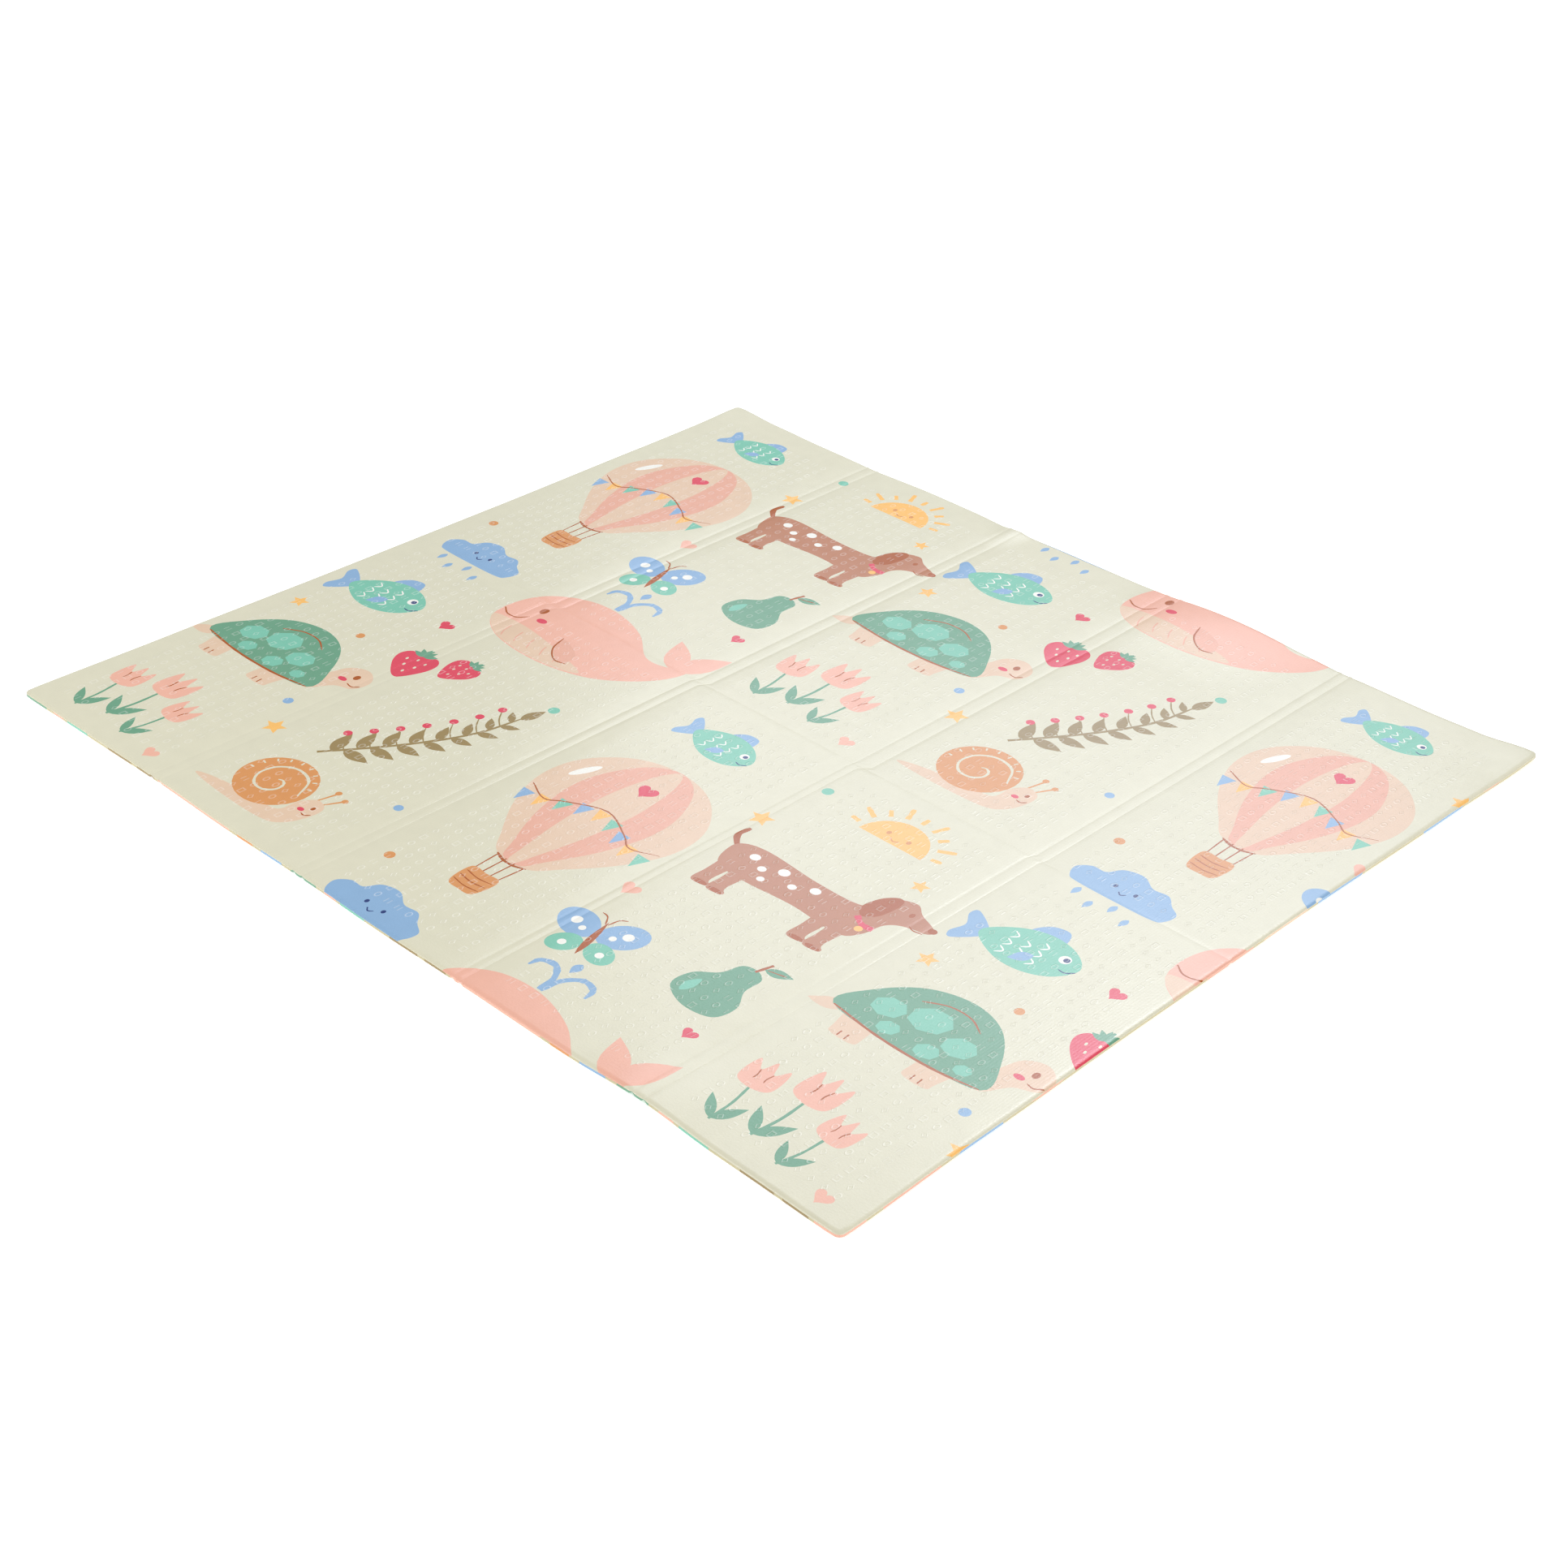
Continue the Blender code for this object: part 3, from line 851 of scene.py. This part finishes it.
def ink_triangles(middles, printed, ground):
    """The number of the last ink printed over each triangle's middle, or else of the ground."""
    inks = np.full(len(middles), INK_NAMES.index(ground))
    order = np.argsort(middles[:, 0])
    ordered_x = middles[order, 0]
    for ink, outline in printed:
        low, high = outline.min(axis=0), outline.max(axis=0)
        near = order[np.searchsorted(ordered_x, low[0]) : np.searchsorted(ordered_x, high[0])]
        near = near[(middles[near, 1] > low[1]) & (middles[near, 1] < high[1])]
        x, y = middles[near].T
        crossed = np.zeros(len(near), bool)
        for (x1, y1), (x2, y2) in zip(outline, np.roll(outline, -1, axis=0)):
            if y1 != y2:
                crossed ^= ((y1 > y) != (y2 > y)) & (x < (x2 - x1) * (y - y1) / (y2 - y1) + x1)
        inks[near[crossed]] = ink
    return inks


def film_normals(flat, is_top):
    """Outward normals of a film at its flat points, from the shape itself."""
    reach = 0 if is_top else RIM_WRAP
    limit = np.array([HALF_LENGTH + reach, HALF_WIDTH + reach])
    sides = []
    for axis in (0, 1):
        step = np.zeros(2)
        step[axis] = NORMAL_STEP
        ahead = np.clip(flat + step, -limit, limit)
        behind = np.clip(flat - step, -limit, limit)
        sides.append(place_film(*ahead.T, is_top) - place_film(*behind.T, is_top))
    normals = np.cross(sides[0], sides[1]) * (1 if is_top else -1)
    return normals / np.maximum(np.linalg.norm(normals, axis=1, keepdims=True), 1e-12)


def rim_ring(flat, placed, half_x, half_y):
    """Numbers of the points on a film's cut edge, in order round the mat, with their angles."""
    on_edge = (np.abs(flat[:, 0]) > half_x - ON_EDGE) | (np.abs(flat[:, 1]) > half_y - ON_EDGE)
    numbers = np.flatnonzero(on_edge)
    angles = np.arctan2(placed[numbers, 1] / HALF_WIDTH, placed[numbers, 0] / HALF_LENGTH)
    order = np.argsort(angles)
    return numbers[order], angles[order]


def join_rims(upper, lower):
    """Triangles of the narrow seam between two rings of point numbers and angles."""
    (upper_points, upper_angles), (lower_points, lower_angles) = upper, lower
    seam = []
    up, low = 0, 0
    while up < len(upper_points) or low < len(lower_points):
        next_up = upper_angles[up + 1] if up + 1 < len(upper_points) else math.inf
        next_low = lower_angles[low + 1] if low + 1 < len(lower_points) else math.inf
        this_up, this_low = upper_points[up % len(upper_points)], lower_points[low % len(lower_points)]
        if next_low < next_up or up >= len(upper_points):
            seam.append((this_low, lower_points[(low + 1) % len(lower_points)], this_up))
            low += 1
        else:
            seam.append((this_up, this_low, upper_points[(up + 1) % len(upper_points)]))
            up += 1
    return np.array(seam)


# Put together
# The two films and the seam that closes them are one thin closed skin round the foam. Its inks are
# a colour attribute, one ink to a triangle, and its flat map keeps the places of the films' patterns.
FILM_LENGTH = LENGTH + 2 * RIM_WRAP
FILM_WIDTH = WIDTH + 2 * RIM_WRAP
upper_print = lay_out_upper_print()
lower_print = lay_out_lower_print()
upper_flat, upper_triangles, upper_inks = cut_film(upper_print, is_top=True)
lower_flat, lower_triangles, lower_inks = cut_film(lower_print, is_top=False)
upper_placed = place_film(*upper_flat.T, is_top=True)
lower_placed = place_film(*lower_flat.T, is_top=False)
upper_ring = rim_ring(upper_flat, upper_placed, HALF_LENGTH, HALF_WIDTH)
lower_ring = rim_ring(lower_flat, lower_placed, FILM_LENGTH / 2, FILM_WIDTH / 2)
upper_count = len(upper_flat)
seam = join_rims(upper_ring, (lower_ring[0] + upper_count, lower_ring[1]))
seam_corners = np.where(seam[:, 0] >= upper_count, seam[:, 0], seam[:, 1]) - upper_count
seam_inks = ink_triangles(lower_flat[seam_corners] * JUST_INSIDE, lower_print, LOWER_GROUND_AND_PAINTED_SHADE)

triangles = np.vstack([upper_triangles, lower_triangles[:, ::-1] + upper_count, seam])
inks = np.concatenate([upper_inks, lower_inks, seam_inks])
placed = np.vstack([upper_placed, lower_placed])
flat = np.vstack([upper_flat, lower_flat])
normals = np.vstack([film_normals(upper_flat, is_top=True), film_normals(lower_flat, is_top=False)])

mat_mesh = bpy.data.meshes.new("printed_mat")
mat_mesh.from_pydata(placed.tolist(), [], triangles.tolist())
mat_mesh.shade_smooth()
ink_colours = np.array([linear(colour) for colour in INKS.values()])
mat_mesh.color_attributes.new("ink", "FLOAT_COLOR", "CORNER")
mat_mesh.attributes["ink"].data.foreach_set("color", np.repeat(ink_colours[inks], 3, axis=0).ravel())
flat_map = (flat + (FILM_LENGTH / 2, FILM_WIDTH / 2)) / (FILM_LENGTH, FILM_WIDTH)
mat_mesh.uv_layers.new(name="flat film").data.foreach_set("uv", flat_map[triangles.ravel()].ravel())
mat_mesh.normals_split_custom_set_from_vertices(normals.tolist())
mat = bpy.data.objects.new("printed_mat", mat_mesh)
bpy.context.collection.objects.link(mat)

# Film of the mat
# Soft polyethylene film, gravure printed, laminated to the foam and pressed by an engraved roller
# with rows of small plain marks, which stay off the folds and the edges.
FILM_IOR = 1.5
FILM_ROUGHNESS = 0.26
EMBOSS_FIELD = 0.875
EMBOSS_COLUMN = 0.026
EMBOSS_ROW = 0.0263
EMBOSS_FIRST_COLUMN = 0.044
EMBOSS_FIRST_ROW = 0.043
EMBOSS_COLUMNS = 12
EMBOSS_ROWS = 31
EMBOSS_HEIGHT = 0.00021
MARK_WIDTH = 0.0084
MARK_HEIGHT = 0.0126
MARK_LINE = (0.08, 0.36)
# How far the marks are mixed towards pale film: partly film stretched white, partly painted highlight
MARK_PALENESS_AND_PAINTED_HIGHLIGHT = 0.19
BOXES_FROM, DIAMONDS_FROM, BARS_FROM = 0.3, 0.55, 0.8
OFF_MARK = 9.0
NEXT_FIELD = (37, 53, 0)
# Pale colour along the marks: partly film stretched white, partly painted highlight
STRETCHED_FILM_AND_PAINTED_HIGHLIGHT = "#f4f2ea"
RIB_SPACING = 0.0054
RIB_HEIGHT = 0.00002
GRAIN_SIZE = 0.004
GRAIN_HEIGHT = 0.00016
WAVE_SIZE = 0.15
WAVE_HEIGHT = 0.0006
BLOTCH_SCALE = 30.0
THINNEST_INK = 0.965


def film_material():
    """Laminated polyethylene film: a soft satin gloss over matt inks, broken by marks and ribs."""
    material = bpy.data.materials.new("laminated polyethylene film")
    material.use_nodes = True
    film = material.node_tree
    shader = film.nodes["Principled BSDF"]
    shader.inputs["IOR"].default_value = FILM_IOR
    shader.inputs["Roughness"].default_value = FILM_ROUGHNESS

    place = add_node(film, "ShaderNodeUVMap", uv_map="flat film")
    film_size = (FILM_LENGTH, FILM_WIDTH, 0)
    wrap = (-RIM_WRAP, -RIM_WRAP, 0)
    metres = add_node(
        film, "ShaderNodeVectorMath", {0: place, 1: film_size, 2: wrap}, operation="MULTIPLY_ADD")

    # Rows of marks: the place in a field, in cells, and in one mark from its middle to its outline
    field_size = (PANEL, EMBOSS_FIELD, 1)
    first_mark = (EMBOSS_FIRST_COLUMN, EMBOSS_FIRST_ROW, 0)
    cell_size = (EMBOSS_COLUMN, EMBOSS_ROW, 1)
    field_place = add_node(film, "ShaderNodeVectorMath", {0: metres, 1: field_size}, operation="MODULO")
    from_first = add_node(film, "ShaderNodeVectorMath", {0: field_place, 1: first_mark}, operation="SUBTRACT")
    cells = add_node(film, "ShaderNodeVectorMath", {0: from_first, 1: cell_size}, operation="DIVIDE")
    cell = add_node(film, "ShaderNodeVectorMath", {0: cells}, operation="FLOOR")
    in_cell = add_node(film, "ShaderNodeVectorMath", {0: cells}, operation="FRACTION")
    from_middle = add_node(film, "ShaderNodeVectorMath", {0: in_cell, 1: (0.5, 0.5, 0)}, operation="SUBTRACT")
    whole_mark = (2 * EMBOSS_COLUMN / MARK_WIDTH, 2 * EMBOSS_ROW / MARK_HEIGHT, 0)
    in_mark = add_node(film, "ShaderNodeVectorMath", {0: from_middle, 1: whole_mark}, operation="MULTIPLY")
    mirrored = add_node(film, "ShaderNodeVectorMath", {0: in_mark}, operation="ABSOLUTE")
    sides = add_node(film, "ShaderNodeSeparateXYZ", {0: mirrored})
    across, along = sides.outputs["X"], sides.outputs["Y"]
    ring = add_node(film, "ShaderNodeVectorMath", {0: mirrored}, operation="LENGTH").outputs["Value"]
    box = add_node(film, "ShaderNodeMath", {0: across, 1: along}, operation="MAXIMUM")
    diamond = add_node(film, "ShaderNodeMath", {0: across, 1: along}, operation="ADD")
    past_end = add_node(film, "ShaderNodeMath", {0: along, 1: 1.0}, operation="GREATER_THAN")
    bars = add_node(film, "ShaderNodeMath", {0: past_end, 1: OFF_MARK, 2: across}, operation="MULTIPLY_ADD")
    fields = add_node(film, "ShaderNodeVectorMath", {0: metres, 1: field_size}, operation="DIVIDE")
    field = add_node(film, "ShaderNodeVectorMath", {0: fields}, operation="FLOOR")
    own_cell = add_node(
        film, "ShaderNodeVectorMath", {0: field, 1: NEXT_FIELD, 2: cell}, operation="MULTIPLY_ADD")
    drawn = add_node(film, "ShaderNodeTexWhiteNoise", {"Vector": own_cell}, noise_dimensions="2D")
    chance = drawn.outputs["Value"]
    reach = ring
    for other, from_chance in ((box, BOXES_FROM), (diamond, DIAMONDS_FROM), (bars, BARS_FROM)):
        chosen = add_node(film, "ShaderNodeMath", {0: chance, 1: from_chance}, operation="GREATER_THAN")
        reach = add_node(film, "ShaderNodeMix", {"Factor": chosen, "A": reach, "B": other})
    off_line = add_node(film, "ShaderNodeMath", {0: reach, 1: 1.0}, operation="SUBTRACT")
    distance = add_node(film, "ShaderNodeMath", {0: off_line}, operation="ABSOLUTE")
    line = add_node(
        film, "ShaderNodeMapRange",
        {"Value": distance, "From Min": MARK_LINE[0], "From Max": MARK_LINE[1], "To Min": 1.0, "To Max": 0.0},
        interpolation_type="SMOOTHSTEP")
    numbers = add_node(film, "ShaderNodeSeparateXYZ", {0: cell})
    in_columns = add_node(
        film, "ShaderNodeMath", {0: numbers.outputs["X"], 1: (EMBOSS_COLUMNS - 1) / 2, 2: EMBOSS_COLUMNS / 2},
        operation="COMPARE")
    in_rows = add_node(
        film, "ShaderNodeMath", {0: numbers.outputs["Y"], 1: (EMBOSS_ROWS - 1) / 2, 2: EMBOSS_ROWS / 2},
        operation="COMPARE")
    in_field = add_node(film, "ShaderNodeMath", {0: in_columns, 1: in_rows}, operation="MULTIPLY")
    mark = add_node(film, "ShaderNodeMath", {0: line, 1: in_field}, operation="MULTIPLY")

    # Ribs from the roller, real spacing 2.7 mm, drawn twice as coarse so that they show; grain and slow waves
    x_place = add_node(film, "ShaderNodeSeparateXYZ", {0: metres}).outputs["X"]
    turns = 2 * math.pi / RIB_SPACING
    rib_turn = add_node(film, "ShaderNodeMath", {0: x_place, 1: turns}, operation="MULTIPLY")
    ribs = add_node(film, "ShaderNodeMath", {0: rib_turn}, operation="SINE")
    grain = add_node(film, "ShaderNodeTexNoise", {"Vector": metres, "Scale": 1 / GRAIN_SIZE, "Detail": 2.0})
    waves = add_node(film, "ShaderNodeTexNoise", {"Vector": metres, "Scale": 1 / WAVE_SIZE, "Detail": 2.0})
    height = add_node(film, "ShaderNodeMath", {0: mark, 1: EMBOSS_HEIGHT}, operation="MULTIPLY")
    for relief, tall in ((ribs, RIB_HEIGHT), (grain, GRAIN_HEIGHT), (waves, WAVE_HEIGHT)):
        height = add_node(film, "ShaderNodeMath", {0: relief, 1: tall, 2: height}, operation="MULTIPLY_ADD")
    bump = add_node(film, "ShaderNodeBump", {"Height": height, "Strength": 1.0, "Distance": 1.0})
    film.links.new(bump.outputs["Normal"], shader.inputs["Normal"])

    # Inks, laid down a little unevenly, and paler along the marks: partly the film stretched white there, and
    # partly a painted highlight that stands in for the gloss on the marks' slopes
    ink = add_node(film, "ShaderNodeAttribute", attribute_name="ink")
    blotches = add_node(film, "ShaderNodeTexNoise", {"Vector": metres, "Scale": BLOTCH_SCALE, "Detail": 3.0})
    evenness = add_node(
        film, "ShaderNodeMapRange",
        {"Value": blotches, "From Min": 0.3, "From Max": 0.7, "To Min": THINNEST_INK, "To Max": 1.0})
    laid_down = add_node(film, "ShaderNodeVectorMath", {0: ink, 1: evenness}, operation="MULTIPLY")
    stretched_and_painted_highlight = add_node(film, "ShaderNodeMath", {0: mark, 1: MARK_PALENESS_AND_PAINTED_HIGHLIGHT}, operation="MULTIPLY")
    two_colours = {"Factor": stretched_and_painted_highlight, 6: laid_down, 7: linear(STRETCHED_FILM_AND_PAINTED_HIGHLIGHT)}
    colour = add_node(film, "ShaderNodeMix", two_colours, data_type="RGBA")
    film.links.new(colour.outputs[2], shader.inputs["Base Color"])
    return material


mat_mesh.materials.append(film_material())
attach(mat, "root")
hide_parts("mat")
